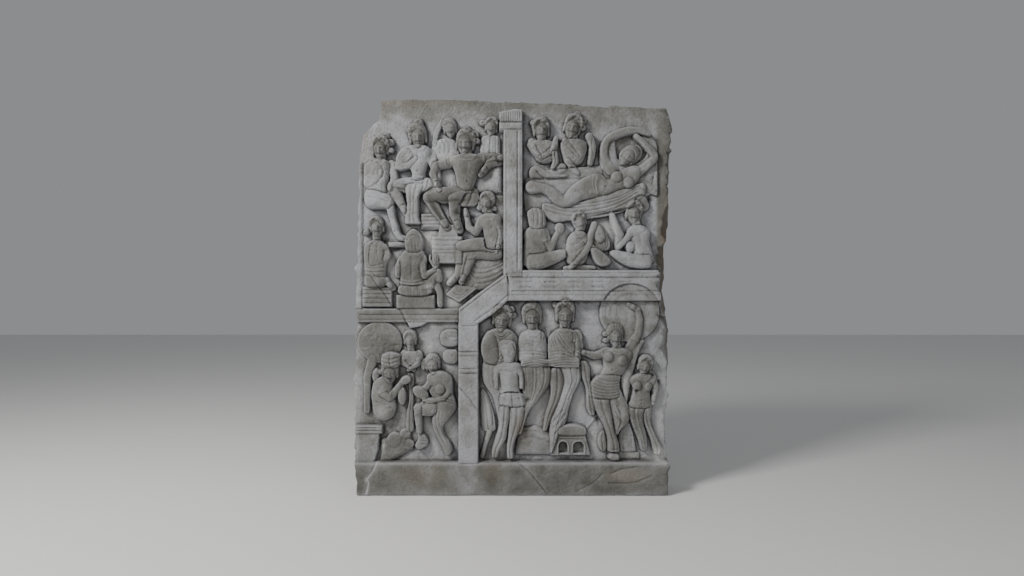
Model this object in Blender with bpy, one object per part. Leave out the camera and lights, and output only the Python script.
# Carved stone relief panel: four crowded scenes framed by flat bands, on a plain plinth
import math

import bmesh
import bpy
import numpy as np

# Driving sizes, in metres
SLAB_WIDTH = 0.968
SLAB_HEIGHT = 1.186
BASE_THICKNESS = 0.090
RELIEF_DEPTH = 0.042
EDGE_FALL = 0.028
FLAT_TOLERANCE = 0.0006

# The carving is laid out on a carver's grid of squares, c across and r up, and its
# heights are shares of RELIEF_DEPTH, so every place on the panel is a share of the slab
SQUARES_WIDE = 32.8
SQUARES_HIGH = 40.2
COLUMN = SLAB_WIDTH / SQUARES_WIDE
ROW = SLAB_HEIGHT / SQUARES_HIGH

# Fineness of the worked surface and of the finished solid
CELLS_WIDE = 246
CELLS_HIGH = 300
TRIANGLES = 9400

# Half widths of the body, as shares of the height of the head, limbs from root to tip
NECK_WIDTH = 0.20
ARM_WIDTHS = (0.25, 0.24, 0.20, 0.19, 0.18, 0.145, 0.14)
LEG_WIDTHS = (0.35, 0.33, 0.29, 0.24, 0.225, 0.18, 0.14)
HAND_WIDTH = 0.15
HAND_LENGTH = 0.26
FOOT_WIDTH = 0.18
FOOT_LENGTH = 0.25
HAIR_OVAL = (0.43, 0.54)
FACE_OVAL = (0.34, 0.43)
BREAST_WIDTH = 0.25

# Power of the curve that rounds a form's ends into its sides; 2 would be an ellipse
SQUARENESS = 2.6

# Heights of the main levels
BAND_LEVEL = 0.80
PLINTH_LEVEL = 0.86
FIGURE_LIFT = 0.28
BODY_RISE = 0.38
LIMB_RISE = 0.28
LEG_RISE = 0.32
HAIR_RISE = 0.38
FACE_RISE = 0.26
HAND_RISE = 0.24
TOP_LEVEL = 0.96

STONE_COLOUR = (0.160, 0.165, 0.163, 1.0)
STONE_ROUGHNESS = 0.86


# Clear the scene
for old in list(bpy.data.objects):
    bpy.data.objects.remove(old, do_unlink=True)


# The broken outline: where each edge runs, in squares
def waver(along, seed, amount):
    source = np.random.RandomState(seed)
    total = np.zeros_like(along)
    for wave in (4.7, 2.6, 1.5, 0.9):
        total += wave * np.sin(2.0 * math.pi * along / wave + source.uniform(0.0, 6.28))
    return amount * total / 9.7


def left_edge(r):
    line = np.interp(
        r,
        (0.0, 1.0, 3.6, 7.0, 12.0, 17.5, 23.0, 28.0, 33.0, 35.3, 36.3, 37.5, 37.9, 39.5, 40.2),
        (0.6, 0.6, 0.1, 0.05, 0.05, 0.2, 0.3, 0.45, 0.45, 0.65, 0.9, 1.7, 2.45, 2.8, 3.3),
    )
    return np.clip(line + waver(r, 3, 0.08), 0.0, None)


def right_edge(r):
    line = np.interp(
        r,
        (0.0, 8.0, 12.0, 17.0, 18.5, 20.5, 22.0, 24.0, 26.0, 28.0, 33.0, 37.3, 39.3),
        (32.15, 32.2, 32.45, 32.45, 32.2, 31.9, 32.1, 31.85, 32.35, 32.5, 32.5, 32.72, 32.5),
    )
    return np.clip(line + waver(r, 5, 0.07), None, SQUARES_WIDE)


def top_edge(c):
    line = np.interp(
        c,
        (2.5, 4.0, 7.0, 12.3, 13.4, 14.4, 16.3, 20.0, 24.5, 26.1, 26.4, 29.5, 31.7, 32.2, 32.6),
        (39.9, 40.1, 40.2, 40.0, 39.65, 39.85, 39.85, 39.75, 39.5, 39.3, 39.5, 39.4, 39.25, 39.4, 39.0),
    )
    return np.clip(line + waver(c, 7, 0.03), None, SQUARES_HIGH)


def edge_fall(c, r):
    # Share by which the front falls back next to a broken edge
    heights = (0.0, 12.0, 13.5, 19.0, 20.5, 28.0, 29.5, 40.0)
    right_reach = np.interp(r, heights, (0.3, 0.3, 0.7, 0.9, 1.0, 0.9, 0.45, 0.5))
    left_reach = np.interp(r, (0.0, 3.0, 5.0, 40.0), (0.2, 0.25, 0.3, 0.35))
    fall = np.clip(1.0 - (c - left_edge(r)) / left_reach, 0.0, 1.0)
    fall = np.maximum(fall, np.clip(1.0 - (right_edge(r) - c) / right_reach, 0.0, 1.0) ** 0.7)
    return np.maximum(fall, 0.6 * np.clip(1.0 - (top_edge(c) - r) / 0.22, 0.0, 1.0))


# Smooth curve through values at rising places: Hermite pieces with the neighbours' mean slope
def ease(at, places, values):
    places = np.array(places, float)
    values = np.array(values, float)
    if len(places) > 2:
        slopes = np.gradient(values, places)
    else:
        slopes = np.full(2, (values[1] - values[0]) / (places[1] - places[0]))
    i = np.clip(np.searchsorted(places, at) - 1, 0, len(places) - 2)
    span = places[i + 1] - places[i]
    t = np.clip((at - places[i]) / span, 0.0, 1.0)
    rest = 1.0 - t
    curve = values[i] * (1.0 + 2.0 * t) * rest**2 + values[i + 1] * (3.0 - 2.0 * t) * t**2
    return curve + span * (slopes[i] * t * rest**2 - slopes[i + 1] * rest * t**2)


# Distance off a bent line, and the share of its length at the nearest place on it
def follow(c, r, points):
    runs = np.hypot(np.diff(points[:, 0]), np.diff(points[:, 1])) + 1e-9
    best = np.full(c.shape, 1e9)
    along = np.zeros(c.shape)
    start = 0.0
    for (c0, r0), (c1, r1), run in zip(points, points[1:], runs):
        t = np.clip(((c - c0) * (c1 - c0) + (r - r0) * (r1 - r0)) / run**2, 0.0, 1.0)
        gap = np.hypot(c - c0 - t * (c1 - c0), r - r0 - t * (r1 - r0))
        along = np.where(gap < best, (start + t * run) / runs.sum(), along)
        best = np.minimum(best, gap)
        start += run
    return best, along


# The worked surface: a height over the sunk ground at each point of the grid
class Carving:
    def __init__(self, columns, rows):
        across = np.linspace(0.0, SQUARES_WIDE, columns)
        up = np.linspace(0.0, SQUARES_HIGH, rows)
        self.c, self.r = np.meshgrid(across, up)
        self.height = np.zeros_like(self.c)
        self.step = (SQUARES_WIDE / (columns - 1), SQUARES_HIGH / (rows - 1))

    def around(self, c0, c1, r0, r1):
        rows, columns = self.height.shape
        left = max(int(c0 / self.step[0]) - 1, 0)
        right = min(int(c1 / self.step[0]) + 3, columns)
        low = max(int(r0 / self.step[1]) - 1, 0)
        high = min(int(r1 / self.step[1]) + 3, rows)
        return slice(low, high), slice(left, right)

    # Rounded form over what is already there; reach is 0 at its middle and 1 at its edge,
    # and blend keeps what stands prouder where a limb leaves the body
    def raise_form(self, part, reach, lift, rise, share, roundness, blend=0.0):
        dome = np.clip(1.0 - reach**2, 0.0, 1.0) ** roundness
        under = self.height[part]
        raised = np.maximum(lift, share * under) + rise * dome
        raised = np.where(blend > 0.0, np.maximum(raised, under * blend), raised)
        self.height[part] = np.where(reach < 1.0, raised, under)

    # Round form along joints, its half widths spread evenly over its length; root is the share
    # of it that stands out where it starts
    def limb(self, joints, widths, lift, rise, share=0.75, roundness=0.56, root=1.0):
        points = np.array(joints, float)
        wide = max(widths)
        part = self.around(
            points[:, 0].min() - wide,
            points[:, 0].max() + wide,
            points[:, 1].min() - wide,
            points[:, 1].max() + wide,
        )
        gap, along = follow(self.c[part], self.r[part], points)
        reach = gap / ease(along, np.linspace(0.0, 1.0, len(widths)), widths)
        grow = root + (1.0 - root) * np.clip(along / 0.3, 0.0, 1.0)
        blend = np.clip((0.45 - along) / 0.2, 0.0, 1.0) if root < 1.0 else 0.0
        self.raise_form(part, reach, lift, rise * grow, share, roundness, blend)

    # Form between the left and right edges given at stations (row, left, right), rounded off at
    # its low and high ends; where it is lying, rows run across and the edges up
    def drape(self, stations, lift, rise, share=0.6, roundness=0.5, ends=(0.5, 0.5), lying=False):
        rows, lefts, rights = zip(*stations)
        if lying:
            part = self.around(rows[0], rows[-1], min(lefts), max(rights))
            c, r = self.r[part], self.c[part]
        else:
            part = self.around(min(lefts), max(rights), rows[0], rows[-1])
            c, r = self.c[part], self.r[part]
        left = ease(r, rows, lefts)
        right = ease(r, rows, rights)
        across = (2.0 * c - left - right) / np.maximum(right - left, 0.04)
        low = np.clip((rows[0] + ends[0] - r) / ends[0], 0.0, None)
        high = np.clip((r - rows[-1] + ends[1]) / ends[1], 0.0, None)
        reach = (np.abs(across) ** SQUARENESS + low**SQUARENESS + high**SQUARENESS) ** (1.0 / SQUARENESS)
        self.raise_form(part, reach, lift, rise, share, roundness)

    # Oval form, half width across and half height up, leaning by tilt degrees to the right
    def oval(self, centre, across, up, lift, rise, tilt=0.0, share=0.75, roundness=0.5):
        wide = max(across, up)
        part = self.around(centre[0] - wide, centre[0] + wide, centre[1] - wide, centre[1] + wide)
        turn = math.radians(tilt)
        dc = self.c[part] - centre[0]
        dr = self.r[part] - centre[1]
        u = (dc * math.cos(turn) - dr * math.sin(turn)) / across
        v = (dc * math.sin(turn) + dr * math.cos(turn)) / up
        self.raise_form(part, np.hypot(u, v), lift, rise, share, roundness)

    # Flat-topped form on a convex outline, its corners given anticlockwise
    def slab(self, corners, level, bevel=0.12, drop=0.12):
        points = np.array(corners)
        part = self.around(points[:, 0].min(), points[:, 0].max(), points[:, 1].min(), points[:, 1].max())
        c, r = self.c[part], self.r[part]
        outside = np.full(c.shape, -99.0)
        for (c0, r0), (c1, r1) in zip(points, np.roll(points, -1, axis=0)):
            run = math.hypot(c1 - c0, r1 - r0)
            outside = np.maximum(outside, ((c - c0) * (r1 - r0) - (r - r0) * (c1 - c0)) / run)
        top = level - drop * np.clip(1.0 + outside / bevel, 0.0, 1.0) ** 2
        self.height[part] = np.where(outside < 0.0, top, self.height[part])

    def block(self, c0, r0, c1, r1, level, bevel=0.12, drop=0.12):
        self.slab(((c0, r0), (c1, r0), (c1, r1), (c0, r1)), level, bevel, drop)

    # Height read between the grid's points
    def read(self, c, r):
        i = np.clip(c / self.step[0], 0.0, self.height.shape[1] - 1.001)
        j = np.clip(r / self.step[1], 0.0, self.height.shape[0] - 1.001)
        i0, j0 = i.astype(int), j.astype(int)
        fi, fj = i - i0, j - j0
        low = self.height[j0, i0] * (1.0 - fi) + self.height[j0, i0 + 1] * fi
        high = self.height[j0 + 1, i0] * (1.0 - fi) + self.height[j0 + 1, i0 + 1] * fi
        return low * (1.0 - fj) + high * fj


# Figures
def carve_head(field, centre, size, tilt=0.0, knots=(), stand=1.0):
    lean = np.array([math.sin(math.radians(tilt)), math.cos(math.radians(tilt))])
    hair = np.array(centre) + 0.14 * size * lean
    face = np.array(centre) - 0.065 * size * lean
    lift = FIGURE_LIFT * stand
    for dc, dr, wide in knots:
        field.oval((centre[0] + dc, centre[1] + dr), wide, 0.9 * wide, lift, 0.22 * stand, share=0.85)
    field.oval(hair, HAIR_OVAL[0] * size, HAIR_OVAL[1] * size, lift, HAIR_RISE * stand, tilt)
    field.oval(face, FACE_OVAL[0] * size, FACE_OVAL[1] * size, lift, FACE_RISE * stand, tilt, 0.8, 0.55)


# Far arms, neck, torso between its stations, legs, head, then the near arms
def carve_person(
    field, size, head, torso, tilt=0.0, knots=(), arms=(), legs=(), behind=(), lady=False, stand=1.0
):
    lift = FIGURE_LIFT * stand
    for joints in behind:
        carve_arm(field, joints, size, 0.9 * stand)
    foot = np.array([(torso[0][1] + torso[0][2]) / 2.0, torso[0][0]])
    top = np.array([(torso[-1][1] + torso[-1][2]) / 2.0, torso[-1][0]])
    half = (max(station[2] for station in torso) - min(station[1] for station in torso)) / 2.0
    neck = NECK_WIDTH * size
    field.limb((head, (top[0], top[1] - 0.2)), (neck, neck), lift, LIMB_RISE * stand, 0.5)
    field.drape(torso, lift, BODY_RISE * stand, 0.5, ends=(0.5, 0.4))
    if lady:
        carve_breasts(field, top, foot - top, half, size, stand)
    for joints in legs:
        carve_leg(field, joints, size, stand)
    carve_head(field, head, size, tilt, knots, stand)
    for joints in arms:
        carve_arm(field, joints, size, stand)


def carve_breasts(field, top, down, half, size, stand):
    across = np.array([-down[1], down[0]]) / np.hypot(*down)
    wide = BREAST_WIDTH * size
    for side in (-1.0, 1.0):
        place = top + 0.36 * down + side * 0.42 * half * across
        field.oval(place, wide, wide, 0.0, HAND_RISE * stand, share=1.0, roundness=0.6)


# Short form past the last joint of a limb
def carve_end(field, joints, length, width, rise, lift):
    tip = np.array(joints[-1], float)
    way = tip - np.array(joints[-2], float)
    end = tip + length * way / np.hypot(*way)
    field.limb((tip, end), (width, 0.8 * width), lift, rise)


def carve_arm(field, joints, size, stand=1.0, hand=True, root=0.35):
    lift = FIGURE_LIFT * stand
    field.limb(joints, [share * size for share in ARM_WIDTHS], lift, LIMB_RISE * stand, root=root)
    if hand:
        carve_end(field, joints, HAND_LENGTH * size, HAND_WIDTH * size, HAND_RISE * stand, lift)


def carve_leg(field, joints, size, stand=1.0, foot=True, root=0.5):
    lift = FIGURE_LIFT * stand
    field.limb(joints, [share * size for share in LEG_WIDTHS], lift, LEG_RISE * stand, root=root)
    if foot:
        carve_end(field, joints, FOOT_LENGTH * size, FOOT_WIDTH * size, HAND_RISE * stand, lift)


# Frame: plinth, pillars, bands and borders
def carve_frame(field):
    field.block(0.0, 0.0, SQUARES_WIDE, 3.3, PLINTH_LEVEL, 0.25, 0.16)
    field.block(10.88, 3.2, 12.95, 17.9, BAND_LEVEL)
    field.slab(
        (
            (12.6, 17.0), (14.3, 18.1), (16.2, 19.8), (15.75, 22.3), (14.0, 21.2), (12.4, 19.9),
            (10.88, 18.8), (10.88, 17.0),
        ),
        BAND_LEVEL,
    )
    field.block(15.9, 19.5, 31.3, 22.6, BAND_LEVEL)
    field.block(15.45, 21.9, 17.35, 36.8, BAND_LEVEL)
    field.block(15.0, 36.6, 17.35, 37.45, BAND_LEVEL + 0.04)
    field.slab(
        ((15.05, 37.4), (17.35, 37.4), (17.35, 38.7), (16.5, 38.75), (15.0, 38.45)), BAND_LEVEL + 0.07,
    )
    field.block(0.3, 17.3, 10.95, 18.75, 0.3, 0.2, 0.08)
    field.block(0.2, 18.6, 1.15, 33.6, 0.14, 0.3, 0.1)
    field.block(31.3, 22.4, SQUARES_WIDE, 38.9, 0.26, 0.8, 0.2)


# Upper left: an audience of seated lords, a lady before them and two figures looking on
def carve_audience(field):
    # Heads and shoulders behind the lords
    field.drape(
        ((33.1, 8.7, 11.0), (34.0, 8.4, 11.0), (35.0, 8.15, 10.9), (36.0, 8.9, 10.4)), 0.16, 0.16,
    )
    field.limb(((8.45, 35.3), (8.6, 36.4), (9.2, 37.7)), (0.22, 0.3, 0.22), 0.18, 0.12)
    carve_head(field, (10.0, 36.85), 1.75, tilt=-6.0, stand=0.8)
    field.drape(((33.9, 13.0, 15.1), (36.3, 13.15, 15.1)), 0.16, 0.14)
    carve_head(field, (14.2, 37.0), 1.7, tilt=8.0, knots=((-0.85, 0.5, 0.38),), stand=0.8)
    # Seats behind the figures
    field.block(12.5, 30.4, 15.3, 33.3, 0.26, 0.5, 0.2)
    field.block(7.1, 26.7, 9.1, 28.3, 0.36)
    field.drape(
        ((28.7, 1.25, 4.0), (29.4, 1.25, 4.3), (30.8, 1.4, 3.7)), FIGURE_LIFT, BODY_RISE * 0.9, 0.5,
    )
    # Lord at the left, one leg hanging
    carve_person(
        field, 2.2, (3.2, 34.75),
        ((30.4, 1.6, 3.9), (31.3, 2.0, 3.75), (32.3, 1.8, 3.95), (33.1, 1.55, 4.3), (33.6, 2.3, 3.8)),
        tilt=-4.0, knots=((0.85, 0.75, 0.36), (0.9, 0.0, 0.33), (0.3, 1.35, 0.42)),
        legs=(
            ((3.2, 28.9), (3.65, 28.0), (4.0, 26.4)),
            ((2.3, 29.7), (4.05, 29.45), (4.4, 27.5), (4.7, 26.0), (5.2, 25.7)),
        ),
        arms=(((4.2, 32.9), (4.5, 31.8), (4.0, 30.7)), ((1.85, 32.9), (1.75, 31.5), (2.9, 32.5))),
    )
    field.block(3.8, 24.9, 5.6, 25.45, 0.42)
    field.drape(
        ((4.0, 30.4, 31.2), (4.6, 30.2, 31.6), (6.4, 30.3, 31.9), (8.0, 30.4, 31.8), (8.7, 30.6, 31.4)),
        FIGURE_LIFT, BODY_RISE, 0.5, lying=True,
    )
    # Middle lord, his sash hanging between the knees
    carve_person(
        field, 2.3, (6.6, 36.1),
        (
            (31.0, 5.4, 7.7), (31.9, 5.4, 7.6), (32.8, 5.0, 7.9), (33.8, 4.75, 8.4), (34.5, 5.1, 8.1),
            (35.0, 5.9, 7.4),
        ),
        tilt=-5.0, knots=((-0.75, 0.75, 0.3), (0.25, 1.5, 0.5)),
        legs=(((5.6, 31.0), (4.3, 30.8), (5.0, 29.3), (5.55, 28.0)),),
        arms=(
            ((8.0, 34.2), (8.5, 33.1), (8.8, 32.0), (8.4, 31.3)),
            ((5.1, 34.1), (4.95, 32.9), (6.1, 32.9)),
        ),
    )
    field.drape(
        ((27.2, 5.4, 7.2), (27.7, 5.7, 7.0), (29.0, 5.8, 7.1), (31.2, 5.7, 7.4)), 0.42, 0.16,
        ends=(0.2, 0.9),
    )
    field.slab(((8.8, 25.9), (10.9, 25.9), (10.7, 27.2), (9.0, 27.2)), 0.42)
    field.block(8.2, 23.25, 11.3, 26.0, 0.56)
    field.drape(
        (
            (7.3, 29.3, 30.2), (7.9, 29.2, 31.0), (9.2, 29.4, 31.2), (10.8, 29.7, 31.1),
            (12.2, 30.0, 30.9),
        ),
        FIGURE_LIFT, BODY_RISE, 0.5, lying=True,
    )
    # Largest lord, one arm out along the ledge
    carve_person(
        field, 2.45, (11.65, 35.3),
        (
            (30.3, 10.7, 12.7), (31.2, 10.9, 12.55), (32.2, 10.55, 13.0), (33.1, 10.15, 13.4),
            (33.8, 10.3, 13.5), (34.3, 11.0, 12.7),
        ),
        tilt=4.0, knots=((0.85, 1.0, 0.38), (1.05, 0.4, 0.33), (0.1, 1.4, 0.5)), stand=1.08,
        legs=(
            ((11.9, 30.2), (10.1, 29.6), (10.2, 28.3), (10.5, 27.2)),
            ((10.6, 30.3), (7.9, 29.9), (9.0, 28.0), (9.9, 27.0)),
        ),
        arms=(
            ((10.4, 33.7), (8.7, 33.1), (8.35, 32.3), (8.8, 31.2)),
            ((13.0, 33.8), (14.3, 34.0), (15.15, 33.9)), ((15.0, 33.8), (14.0, 33.3), (13.5, 32.7)),
        ),
    )
    field.drape(
        ((26.0, 10.7, 11.5), (27.4, 10.6, 11.6), (29.2, 10.3, 11.3)), 0.4, 0.14, ends=(0.2, 0.6),
    )
    # Cloth and steps under the seated lady
    field.drape(((20.6, 11.0, 14.3), (22.0, 11.2, 15.6), (24.0, 12.0, 16.3)), 0.14, 0.14)
    field.drape(
        ((24.0, 14.5, 16.2), (26.0, 14.9, 16.6), (28.5, 14.6, 16.3), (30.2, 14.0, 15.6)), 0.12, 0.12,
    )
    field.slab(((9.6, 20.1), (11.0, 19.3), (12.9, 20.8), (10.6, 21.2)), 0.34)
    field.drape(
        ((11.4, 23.6, 24.5), (13.0, 23.7, 24.7), (14.6, 23.6, 24.8), (15.4, 23.8, 24.9)), FIGURE_LIFT,
        0.3, 0.5, lying=True,
    )
    carve_leg(field, ((12.1, 24.2), (11.75, 22.9), (11.3, 21.7)), 2.0)
    field.drape(
        (
            (10.6, 24.7, 25.4), (11.3, 24.5, 25.6), (13.0, 24.5, 25.9), (14.6, 24.4, 25.8),
            (15.5, 24.6, 25.5),
        ),
        0.42, 0.34, 0.5, lying=True,
    )
    carve_leg(field, ((11.2, 24.9), (11.15, 23.6), (10.9, 22.2), (10.2, 21.5)), 2.0)
    # Lady seated before them
    carve_person(
        field, 1.95, (13.75, 29.3),
        (
            (24.6, 13.6, 15.6), (25.5, 13.5, 15.5), (26.5, 13.4, 15.3), (27.4, 13.1, 15.3),
            (28.1, 13.1, 15.1), (28.4, 13.4, 14.6),
        ),
        tilt=8.0, knots=((-0.75, -0.4, 0.3), (0.75, -0.5, 0.3)),
        arms=(
            ((13.3, 27.7), (12.65, 26.4), (11.95, 26.9), (11.7, 28.2)),
            ((15.0, 27.5), (15.3, 26.2), (14.9, 24.9)),
        ),
    )
    field.block(1.2, 18.9, 4.2, 20.9, 0.4)
    # Listener on the stool at the left
    carve_person(
        field, 1.85, (2.55, 26.85),
        (
            (20.8, 1.4, 3.6), (21.8, 1.45, 3.5), (23.0, 1.4, 3.6), (24.2, 1.35, 3.9), (25.2, 1.5, 3.5),
            (25.7, 2.1, 3.1),
        ),
        knots=((-0.95, -0.45, 0.34),), legs=(((2.2, 21.4), (3.6, 21.5), (4.1, 21.0)),),
        arms=(((3.3, 24.8), (3.6, 23.7), (2.7, 23.1)),),
    )
    # Seat of the onlooker
    field.block(4.6, 18.7, 8.5, 20.1, 0.42, 0.3, 0.1)
    field.drape(((20.0, 4.8, 8.2), (20.6, 4.8, 8.2), (21.3, 5.0, 8.0)), 0.45, 0.2)
    field.limb(((8.5, 21.5), (9.0, 20.4), (9.05, 19.1)), (0.4, 0.32, 0.3), FIGURE_LIFT, 0.2)
    carve_onlooker(field)


def carve_onlooker(field):
    # Seated figure seen from behind, one hand raised
    field.drape(
        (
            (21.0, 4.8, 7.7), (21.8, 4.7, 7.6), (22.7, 4.5, 7.6), (23.6, 4.65, 7.6), (24.2, 5.0, 7.4),
            (24.6, 5.5, 6.9),
        ),
        0.38, 0.36, 0.5, ends=(0.4, 0.4),
    )
    field.limb(
        ((6.8, 20.9), (8.0, 21.2), (8.8, 22.5), (8.85, 21.7)), (0.6, 0.55, 0.45, 0.38), 0.34, 0.3,
        root=0.5,
    )
    carve_arm(field, ((4.95, 23.8), (4.75, 22.3)), 2.1, hand=False)
    carve_arm(field, ((7.4, 23.8), (7.45, 22.2), (8.1, 22.7), (8.25, 23.9)), 2.1)
    carve_head(field, (6.35, 25.45), 2.0)
    field.oval((6.35, 25.6), 0.78, 0.95, 0.5, 0.14, share=0.9)


# Upper right: a lady asleep on a couch, two attendants behind her and three guards below
def carve_sleeper(field):
    # Attendant on the left
    carve_person(
        field, 2.15, (19.2, 36.65),
        (
            (33.4, 18.9, 20.3), (34.0, 18.6, 20.7), (34.8, 18.0, 20.9), (35.4, 17.8, 20.8),
            (35.8, 18.5, 20.2),
        ),
        knots=((-0.65, 0.85, 0.36), (0.35, 1.05, 0.48)), stand=0.88,
        arms=(((18.2, 35.3), (18.6, 34.6), (19.3, 33.9)),),
    )
    field.limb(((20.3, 34.4), (20.75, 35.7)), (0.42, 0.34), FIGURE_LIFT, 0.24)
    carve_arm(field, ((20.8, 34.8), (20.85, 33.8), (20.5, 33.3)), 2.1, 0.9)
    # Attendant on the right
    carve_person(
        field, 2.3, (22.5, 37.0),
        (
            (33.5, 21.5, 23.6), (34.2, 21.6, 23.9), (35.0, 21.3, 24.0), (35.7, 21.4, 23.9),
            (36.1, 22.0, 23.4),
        ),
        tilt=12.0, knots=((0.95, 0.75, 0.42), (0.95, 0.05, 0.36), (0.35, 1.35, 0.42)), stand=0.92,
        arms=(
            ((24.15, 35.9), (24.4, 34.7), (24.3, 33.7)),
            ((21.6, 35.5), (21.9, 34.3), (22.6, 33.2), (23.1, 32.7)),
        ),
    )
    # Bedding and couch
    field.drape(
        ((18.0, 31.8, 32.9), (20.0, 31.8, 32.8), (22.5, 31.9, 33.0), (25.5, 31.6, 33.2)), 0.18, 0.12,
        lying=True,
    )
    field.drape(
        ((18.0, 31.9, 32.9), (18.7, 31.9, 33.2), (20.2, 31.9, 32.4), (22.0, 32.0, 32.3)), 0.24, 0.2,
        lying=True,
    )
    field.drape(
        ((32.4, 25.6, 27.2), (33.5, 25.2, 27.0), (35.0, 25.3, 26.8), (36.0, 26.0, 26.7)), 0.22, 0.16,
    )
    field.drape(
        (
            (19.3, 28.4, 29.4), (20.4, 27.5, 29.3), (22.0, 27.6, 29.3), (24.2, 27.8, 29.8),
            (26.0, 28.1, 30.5), (28.2, 28.9, 31.1), (29.8, 30.2, 31.5),
        ),
        0.36, 0.16, 0.5, lying=True, ends=(0.3, 0.5),
    )
    field.block(28.6, 28.6, 30.1, 30.0, 0.3, 0.3, 0.1)
    field.limb(((29.6, 31.2), (30.9, 30.6), (31.0, 32.4)), (0.5, 0.45, 0.3), 0.16, 0.14)
    field.limb(
        ((26.3, 32.7), (25.6, 34.2), (25.9, 35.7), (27.4, 36.5), (28.9, 36.7), (30.1, 36.3)),
        (0.55, 0.42, 0.42, 0.45, 0.4, 0.25), 0.34, 0.24, root=0.5,
    )
    # Sleeping lady, from hips to breast, then legs, arm and head
    field.drape(
        (
            (25.0, 30.0, 32.2), (26.0, 30.2, 31.8), (27.2, 30.7, 32.6), (28.4, 31.0, 33.2),
            (29.3, 31.9, 33.1),
        ),
        FIGURE_LIFT, BODY_RISE, 0.5, lying=True,
    )
    field.limb(
        ((24.8, 31.2), (23.0, 30.5), (21.5, 29.45), (19.9, 30.7), (18.3, 30.95)),
        (1.15, 1.1, 0.95, 0.78, 0.6, 0.62, 0.55, 0.5, 0.68), 0.42, 0.34, root=0.7,
    )
    for place in ((26.85, 31.95), (28.0, 31.45)):
        field.oval(place, 0.6, 0.62, 0.0, 0.24, share=0.95, roundness=0.6)
    field.limb(
        ((28.9, 32.4), (29.9, 33.2), (30.65, 34.1), (29.7, 35.3), (28.8, 36.1)),
        (0.5, 0.46, 0.42, 0.4, 0.34, 0.28), 0.36, 0.28, root=0.4,
    )
    carve_head(field, (28.2, 34.15), 1.85, tilt=14.0)
    carve_guards(field)


def carve_guards(field):
    # Seated guards, dozing
    carve_person(
        field, 1.9, (18.7, 28.0),
        (
            (22.8, 17.4, 20.2), (24.0, 17.4, 20.0), (25.4, 17.5, 19.9), (26.6, 17.6, 19.8),
            (27.3, 18.1, 19.3),
        ),
        stand=0.95, arms=(((19.7, 26.8), (20.2, 24.8), (20.6, 26.0), (21.1, 26.5)),),
    )
    field.drape(
        ((17.7, 22.6, 24.2), (19.0, 22.7, 24.3), (20.6, 23.1, 24.4), (22.1, 23.9, 24.5)), 0.4, 0.26,
        0.6, lying=True,
    )
    carve_person(
        field, 1.75, (23.25, 27.4),
        (
            (23.3, 21.9, 23.4), (24.2, 21.9, 23.7), (25.2, 21.9, 23.9), (26.2, 22.0, 24.2),
            (26.7, 22.5, 23.9),
        ),
        tilt=-18.0, stand=0.95,
        legs=(
            ((23.95, 24.9), (24.4, 23.9), (25.4, 23.4), (26.1, 23.6)),
            ((24.3, 25.1), (23.4, 23.9), (22.6, 23.1)),
        ),
    )
    field.drape(
        ((25.1, 24.4, 25.6), (25.9, 24.2, 25.9), (26.8, 24.1, 25.6), (27.5, 24.2, 24.9)), 0.44, 0.26,
        ends=(0.4, 0.4),
    )
    carve_person(
        field, 1.85, (28.7, 28.1),
        (
            (23.2, 28.6, 30.6), (24.4, 28.6, 30.4), (25.6, 28.3, 30.2), (26.6, 27.9, 30.2),
            (27.2, 28.2, 29.6),
        ),
        stand=0.95, arms=(((28.4, 26.7), (27.6, 25.3), (26.9, 26.2), (26.55, 27.6)),),
    )
    field.drape(
        ((26.1, 24.0, 24.6), (27.2, 23.2, 24.6), (28.8, 22.8, 24.4), (30.7, 22.7, 24.3)), 0.4, 0.26,
        0.6, lying=True,
    )
    field.oval((28.2, 24.9), 0.52, 0.5, 0.4, 0.22)


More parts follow.
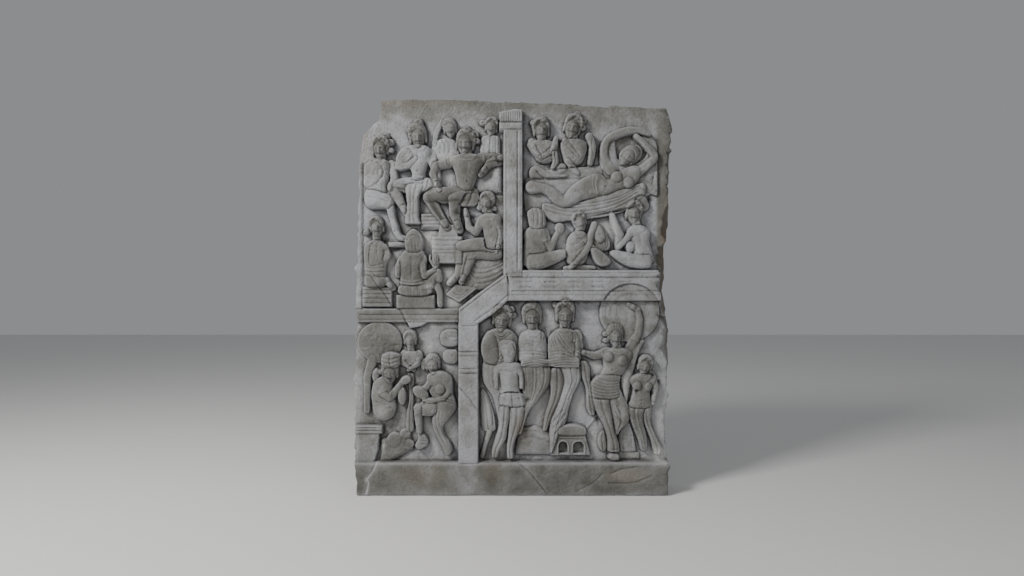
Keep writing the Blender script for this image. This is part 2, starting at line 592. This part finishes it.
# Lower left: figures before a shrine, under a tree
def carve_shrine(field):
    # Tree
    field.oval((2.9, 15.3), 2.3, 2.1, 0.16, 0.14)
    field.limb(((2.2, 13.6), (1.65, 11.8), (1.6, 8.4)), (0.5, 0.38, 0.34), 0.18, 0.14)
    # Shrine and the broken forms beside it
    field.slab(((0.6, 3.2), (2.7, 3.2), (2.8, 4.4), (3.1, 5.4), (3.2, 6.2), (0.6, 6.2)), 0.5)
    field.block(0.5, 6.1, 3.25, 6.95, 0.58)
    field.slab(
        ((2.9, 3.2), (4.0, 3.2), (6.3, 4.5), (6.0, 5.9), (5.6, 6.7), (4.6, 6.2), (3.1, 6.4)), 0.3, 0.5,
        0.16,
    )
    field.oval((4.4, 5.4), 0.75, 0.85, 0.24, 0.1)
    field.oval((5.5, 6.05), 0.55, 0.55, 0.24, 0.1)
    field.oval((5.9, 5.1), 0.55, 0.4, 0.22, 0.08, 30.0)
    field.slab(((5.2, 18.3), (6.0, 16.7), (7.1, 16.9), (8.4, 17.7), (8.0, 18.4)), 0.4)
    field.drape(
        ((12.9, 9.5, 10.6), (13.6, 9.3, 10.75), (14.2, 9.2, 10.8), (14.8, 9.3, 10.8)), 0.2, 0.14,
    )
    field.oval((9.95, 15.8), 0.88, 0.95, 0.26, 0.16)
    # Small figure above, hands joined
    carve_person(
        field, 1.65, (6.0, 15.45),
        ((12.5, 5.9, 6.4), (13.0, 5.5, 6.8), (13.7, 5.2, 7.0), (14.3, 5.3, 6.9), (14.6, 5.6, 6.5)),
        stand=0.8,
        arms=(((5.4, 14.2), (5.3, 13.4), (6.0, 12.8)), ((6.8, 14.2), (6.95, 13.4), (6.2, 12.8))),
    )
    field.drape(((12.5, 7.1, 7.6), (13.1, 7.05, 7.7), (13.7, 7.2, 7.7)), 0.2, 0.14)
    field.drape(((6.2, 5.5, 6.4), (8.0, 5.6, 6.3), (10.0, 5.9, 6.3), (12.2, 5.6, 6.4)), 0.14, 0.1)
    field.drape(((8.95, 5.0, 5.6), (9.5, 4.75, 5.8), (10.4, 4.75, 5.75), (11.1, 4.9, 5.5)), 0.3, 0.2)
    field.oval((2.6, 12.05), 0.42, 0.68, FIGURE_LIFT, 0.25)
    # Kneeling figure, hands joined
    carve_person(
        field, 2.4, (3.95, 12.55),
        (
            (7.4, 2.6, 3.8), (8.2, 2.2, 4.3), (9.2, 2.05, 4.4), (10.2, 2.1, 4.3), (11.0, 2.15, 4.4),
            (11.6, 2.6, 4.2),
        ),
        arms=(((2.6, 10.9), (3.9, 9.9), (4.9, 10.9), (5.4, 11.4)),),
    )
    # Lady stepping up with a bowl
    field.drape(
        (
            (3.8, 9.2, 10.2), (4.4, 9.0, 10.3), (5.2, 8.9, 10.1), (6.0, 8.6, 9.5), (6.8, 8.3, 9.45),
            (7.8, 8.2, 10.2), (8.8, 8.4, 10.65), (9.8, 8.4, 10.35), (10.8, 7.9, 10.25),
            (11.8, 7.75, 9.9), (12.3, 8.4, 9.3),
        ),
        FIGURE_LIFT, BODY_RISE, 0.5, ends=(0.3, 0.4),
    )
    field.limb(
        ((9.4, 8.45), (6.85, 8.3), (6.95, 6.4)), (0.75, 0.68, 0.58, 0.42, 0.32), 0.42, 0.3, root=0.5,
    )
    field.drape(
        ((4.4, 6.6, 7.0), (4.9, 6.5, 7.7), (5.5, 6.8, 7.8), (6.2, 6.75, 7.4)), FIGURE_LIFT, 0.22,
        ends=(0.3, 0.2),
    )
    field.oval((9.3, 10.75), 0.56, 0.62, 0.0, 0.22, share=0.95, roundness=0.6)
    field.limb(((8.1, 11.4), (7.8, 10.5), (7.4, 10.0)), (0.4, 0.36, 0.3), 0.4, 0.2, root=0.4)
    field.oval((7.15, 10.2), 0.92, 0.62, 0.42, 0.24, tilt=-32.0)
    field.limb(((9.0, 9.3), (7.9, 9.4), (6.9, 9.9)), (0.34, 0.3, 0.26), 0.42, 0.24, root=0.4)
    carve_head(field, (8.3, 12.95), 1.75, tilt=-8.0)


# Lower right: three lords, a smaller figure in front, and two ladies at a tree
def carve_procession(field):
    # Crown of the tree and the rock
    field.oval((28.2, 18.3), 3.05, 2.95, 0.22, 0.12)
    field.slab(((16.6, 3.9), (20.4, 3.9), (20.4, 6.2), (18.6, 6.9), (17.0, 6.5)), 0.26, 0.4, 0.12)
    field.drape(
        ((6.2, 13.3, 14.7), (7.4, 13.15, 14.6), (9.0, 13.1, 14.2), (10.6, 13.1, 13.5)), 0.16, 0.12,
    )
    field.limb(((14.0, 6.2), (13.6, 5.0), (13.3, 3.8)), (0.32, 0.26, 0.24), 0.18, 0.14)
    carve_robe(
        field,
        (
            (7.0, 15.0, 15.7), (8.4, 14.7, 16.0), (9.8, 14.3, 16.3), (11.2, 13.45, 16.5),
            (12.6, 13.25, 16.5), (13.4, 13.3, 16.5),
        ),
    )
    # Lord at the left
    carve_person(
        field, 2.5, (15.25, 17.55),
        (
            (13.0, 13.4, 16.8), (14.0, 13.3, 16.9), (15.2, 13.3, 16.9), (16.2, 13.6, 16.7),
            (16.9, 14.3, 16.2),
        ),
        tilt=8.0, knots=((0.95, 1.1, 0.4), (1.2, 0.5, 0.34), (0.35, 1.4, 0.4)),
    )
    field.drape(
        (
            (13.1, 13.8, 15.2), (14.0, 13.2, 15.6), (15.2, 13.1, 15.6), (16.3, 13.3, 15.3),
            (16.9, 13.7, 14.9),
        ),
        0.44, 0.22,
    )
    carve_robe(
        field,
        (
            (6.0, 16.8, 17.3), (7.2, 17.1, 17.6), (8.4, 17.4, 18.1), (9.6, 17.5, 19.0),
            (11.0, 17.2, 20.0), (12.6, 17.0, 20.2), (13.2, 17.1, 20.0),
        ),
    )
    # Middle lord
    carve_person(
        field, 2.45, (18.3, 17.75),
        (
            (13.2, 16.9, 19.9), (14.2, 16.9, 19.8), (15.4, 16.9, 19.8), (16.3, 17.0, 19.7),
            (16.9, 17.5, 19.2),
        ),
        knots=((0.0, 1.3, 0.55),), behind=(((17.1, 15.9), (16.95, 14.8), (17.3, 14.0)),),
        arms=(((19.4, 16.1), (19.6, 15.0), (18.9, 14.1)),),
    )
    field.drape(((7.2, 19.3, 20.0), (8.2, 19.5, 20.9), (9.4, 19.9, 21.4), (11.2, 20.1, 21.6)), 0.3, 0.2)
    carve_robe(
        field,
        (
            (4.1, 20.1, 20.5), (5.2, 19.95, 20.9), (6.4, 20.0, 21.3), (7.4, 20.15, 21.7),
            (8.6, 20.35, 22.0), (10.0, 20.6, 22.5), (11.5, 20.3, 23.1), (13.0, 20.2, 23.3),
        ),
    )
    # Lord at the right
    carve_person(
        field, 2.45, (21.65, 18.0),
        (
            (13.2, 19.9, 23.2), (14.2, 19.9, 23.1), (15.4, 19.9, 23.2), (16.4, 20.1, 23.1),
            (17.0, 20.8, 22.6),
        ),
        knots=((-0.95, 1.1, 0.36), (0.1, 1.35, 0.5)),
        arms=(
            ((20.15, 16.3), (19.95, 15.3), (20.4, 14.5)), ((22.9, 16.3), (23.15, 15.2), (22.8, 14.3)),
        ),
    )
    # Sash across the lords
    field.drape(
        (
            (17.2, 12.9, 13.5), (18.6, 12.9, 13.8), (19.8, 12.9, 13.6), (21.4, 12.8, 13.8),
            (23.1, 12.8, 13.8),
        ),
        0.62, 0.1, 0.9, lying=True, ends=(0.2, 0.2),
    )
    carve_attendant(field)
    carve_stool(field)
    carve_tree_ladies(field)


def carve_robe(field, stations):
    field.drape(stations, FIGURE_LIFT, 0.85 * BODY_RISE, 0.5, ends=(0.3, 0.2))


def carve_attendant(field):
    # Small standing figure: body, worn head, legs, hem and arms
    field.drape(
        (
            (9.4, 15.0, 17.5), (10.4, 15.15, 17.1), (11.6, 15.1, 17.0), (12.6, 14.85, 17.1),
            (13.2, 14.8, 17.0), (13.6, 15.3, 16.6),
        ),
        0.5, 0.36, 0.5, ends=(0.5, 0.6),
    )
    field.drape(
        (
            (13.3, 15.3, 16.5), (13.9, 15.15, 16.7), (14.8, 15.05, 16.8), (15.5, 15.2, 16.7),
            (15.95, 15.6, 16.3),
        ),
        0.6, 0.3, 0.5,
    )
    field.drape(
        (
            (3.7, 14.3, 15.0), (4.6, 14.4, 15.1), (5.6, 14.6, 15.7), (6.6, 15.0, 15.9),
            (7.8, 15.1, 16.2), (9.0, 15.1, 16.3),
        ),
        0.42, 0.28, ends=(0.2, 0.5),
    )
    field.drape(
        (
            (3.6, 15.8, 16.5), (4.6, 15.75, 16.4), (5.6, 15.85, 16.6), (6.6, 16.0, 17.0),
            (7.8, 16.15, 17.6), (9.0, 16.1, 17.7),
        ),
        0.42, 0.28, ends=(0.2, 0.5),
    )
    field.drape(
        ((8.3, 15.05, 17.8), (9.0, 15.0, 17.7), (9.8, 15.05, 17.55), (10.4, 15.2, 17.2)), 0.46, 0.32,
        0.5,
    )
    field.limb(((14.85, 12.9), (14.7, 11.8), (14.75, 10.95)), (0.36, 0.32, 0.3), 0.48, 0.28, root=0.5)
    field.limb(((16.9, 12.9), (17.2, 11.8), (17.2, 10.9)), (0.32, 0.3, 0.24), 0.48, 0.26, root=0.5)
    field.oval((15.15, 13.8), 0.2, 0.22, 0.5, 0.2)


def carve_stool(field):
    # Wicker seat with two arched openings
    field.slab(((20.2, 3.9), (24.25, 3.9), (23.7, 6.0), (21.0, 6.0)), 0.45)
    field.drape(
        ((20.9, 6.0, 6.7), (21.6, 5.95, 7.0), (23.1, 5.95, 7.0), (23.8, 6.0, 6.7)), 0.44, 0.14,
        lying=True, ends=(0.25, 0.25),
    )
    for middle, wide in ((21.45, 0.42), (23.0, 0.52)):
        field.block(middle - wide, 4.2, middle + wide, 4.85, 0.08, 0.02, 0.0)
        field.oval((middle, 4.85), wide, 0.45, 0.06, 0.0, share=0.0)


def carve_tree_ladies(field):
    # Trunk, above and below her leg
    field.drape(
        (
            (9.2, 27.75, 27.95), (10.4, 27.5, 28.15), (11.6, 27.3, 28.4), (13.0, 27.8, 28.75),
            (14.4, 28.4, 29.2), (15.6, 29.0, 29.8),
        ),
        0.2, 0.16, ends=(0.2, 0.2),
    )
    field.drape(
        ((4.2, 27.25, 28.9), (5.4, 27.1, 28.6), (6.6, 27.3, 28.4), (7.5, 27.9, 28.3)), 0.16, 0.14,
        ends=(0.1, 0.3),
    )
    field.drape(
        (
            (4.3, 30.6, 31.5), (5.2, 30.4, 31.3), (6.2, 29.9, 30.7), (7.2, 29.6, 30.4),
            (8.4, 29.2, 30.5), (9.6, 29.0, 30.4),
        ),
        0.24, 0.22, 0.5, ends=(0.3, 0.5),
    )
    field.drape(
        (
            (4.3, 29.2, 30.1), (5.2, 29.2, 29.9), (6.2, 28.7, 29.7), (7.2, 28.3, 29.6),
            (8.4, 27.95, 29.7), (9.6, 28.2, 30.2),
        ),
        0.26, 0.26, 0.5, ends=(0.3, 0.5),
    )
    # Small lady at the right
    carve_person(
        field, 1.65, (29.75, 13.15),
        (
            (8.6, 28.1, 30.3), (9.6, 28.3, 30.2), (10.6, 28.6, 30.2), (11.6, 28.4, 30.6),
            (12.3, 28.9, 30.2),
        ),
        tilt=10.0, lady=True, stand=0.85, arms=(((30.3, 12.0), (30.8, 10.9), (30.6, 9.6)),),
    )
    field.drape(
        (
            (6.1, 26.5, 26.8), (6.8, 26.4, 27.6), (7.6, 26.3, 28.2), (8.6, 26.0, 28.1),
            (9.6, 25.6, 27.7), (10.6, 25.2, 27.3),
        ),
        0.34, 0.3, 0.5,
    )
    field.drape(
        (
            (4.0, 26.0, 27.2), (5.0, 25.85, 27.1), (6.0, 25.8, 26.9), (7.0, 25.5, 26.6),
            (8.4, 24.9, 26.35), (10.4, 24.2, 26.5),
        ),
        0.4, 0.32, 0.5, ends=(0.1, 0.5),
    )
    field.drape(((3.4, 26.0, 27.3), (3.8, 25.9, 27.2), (4.2, 26.1, 27.0)), 0.42, 0.26)
    # Lady at the tree, one arm raised
    carve_person(
        field, 2.1, (26.7, 15.85),
        (
            (11.8, 25.0, 27.3), (12.6, 25.5, 27.8), (13.4, 25.5, 28.2), (14.2, 25.3, 28.5),
            (14.8, 25.9, 28.0),
        ),
        knots=((-0.95, 0.3, 0.32), (-0.95, -0.35, 0.3)), lady=True,
        arms=(
            ((25.9, 14.3), (24.6, 13.95), (23.5, 14.3)),
            ((28.2, 14.7), (29.0, 16.2), (29.2, 17.6), (29.0, 18.6), (28.5, 18.9)),
        ),
    )
    field.drape(
        ((9.6, 24.1, 27.4), (10.4, 24.0, 27.2), (11.2, 24.3, 27.1), (12.2, 25.1, 27.2)), 0.4, 0.34, 0.5,
    )
    # Loose ends of her sash
    field.drape(
        (
            (7.95, 23.95, 24.7), (9.0, 23.75, 24.5), (10.4, 23.7, 24.2), (12.0, 23.3, 24.2),
            (13.5, 23.1, 23.7),
        ),
        0.32, 0.2, ends=(0.2, 0.3),
    )
    field.drape(((4.2, 25.15, 25.75), (5.2, 25.0, 25.8), (6.3, 25.2, 25.7)), 0.22, 0.16)
    field.block(27.1, 3.5, 29.2, 4.2, 0.16, 0.2, 0.06)


# Build the slab: a grid over the face, worked forward, then taken back to a flat rear
def stone_material():
    material = bpy.data.materials.new("weathered_limestone")
    material.use_nodes = True
    shader = material.node_tree.nodes["Principled BSDF"]
    shader.inputs["Base Color"].default_value = STONE_COLOUR
    shader.inputs["Roughness"].default_value = STONE_ROUGHNESS
    shader.inputs["Metallic"].default_value = 0.0
    return material


def carved_face():
    field = Carving(CELLS_WIDE * 2, CELLS_HIGH * 2)
    carve_audience(field)
    carve_sleeper(field)
    carve_shrine(field)
    carve_frame(field)
    carve_procession(field)
    field.height = np.minimum(field.height, TOP_LEVEL)
    return field


def make_slab(field):
    bpy.ops.mesh.primitive_grid_add(x_subdivisions=CELLS_WIDE, y_subdivisions=CELLS_HIGH, size=1.0)
    slab = bpy.context.object
    slab.name = "relief_panel"
    mesh = slab.data
    mesh.name = "relief_panel"
    places = np.empty(len(mesh.vertices) * 3)
    mesh.vertices.foreach_get("co", places)
    places = places.reshape(-1, 3)
    c = (places[:, 0] + 0.5) * SQUARES_WIDE
    r = (places[:, 1] + 0.5) * SQUARES_HIGH
    r = r * top_edge(c) / SQUARES_HIGH
    c = left_edge(r) + c / SQUARES_WIDE * (right_edge(r) - left_edge(r))
    front = RELIEF_DEPTH * field.read(c, r) - (RELIEF_DEPTH * 0.5 + EDGE_FALL) * edge_fall(c, r)
    places[:, 0] = (c - SQUARES_WIDE / 2.0) * COLUMN
    places[:, 1] = -BASE_THICKNESS / 2.0 - front
    places[:, 2] = r * ROW
    mesh.vertices.foreach_set("co", places.ravel())
    return slab


def close_back(mesh):
    work = bmesh.new()
    work.from_mesh(mesh)
    rim = [edge for edge in work.edges if edge.is_boundary]
    walls = bmesh.ops.extrude_edge_only(work, edges=rim)["geom"]
    rear = [item for item in walls if isinstance(item, bmesh.types.BMVert)]
    for corner in rear:
        corner.co.y = BASE_THICKNESS / 2.0
    open_edges = [edge for edge in work.edges if edge.is_boundary]
    bmesh.ops.contextual_create(work, geom=open_edges)
    bmesh.ops.triangulate(work, faces=work.faces[:])
    bmesh.ops.recalc_face_normals(work, faces=work.faces[:])
    work.to_mesh(mesh)
    work.free()


def thin_out(slab):
    reduce = slab.modifiers.new("Decimate", "DECIMATE")
    reduce.ratio = TRIANGLES / len(slab.data.polygons)
    reduce.use_collapse_triangulate = True
    seen = slab.evaluated_get(bpy.context.evaluated_depsgraph_get())
    mesh = bpy.data.meshes.new_from_object(seen)
    slab.modifiers.clear()
    slab.data = mesh
    mesh.name = "relief_panel"


def true_up(mesh):
    # Back and underside are exactly flat, so that the panel can be set against a wall and on a ledge
    places = np.empty(len(mesh.vertices) * 3)
    mesh.vertices.foreach_get("co", places)
    places = places.reshape(-1, 3)
    rear = np.abs(places[:, 1] - BASE_THICKNESS / 2.0) < FLAT_TOLERANCE
    places[rear, 1] = BASE_THICKNESS / 2.0
    low = places[:, 2] < FLAT_TOLERANCE
    places[low, 2] = 0.0
    places[:, 2] = np.minimum(places[:, 2], SLAB_HEIGHT)
    mesh.vertices.foreach_set("co", places.ravel())
    mesh.update()


def build():
    group = bpy.data.collections.new("stone_relief_panel")
    bpy.context.scene.collection.children.link(group)
    slab = make_slab(carved_face())
    close_back(slab.data)
    thin_out(slab)
    true_up(slab.data)
    slab.data.materials.clear()
    slab.data.materials.append(stone_material())
    for holder in list(slab.users_collection):
        holder.objects.unlink(slab)
    group.objects.link(slab)


build()
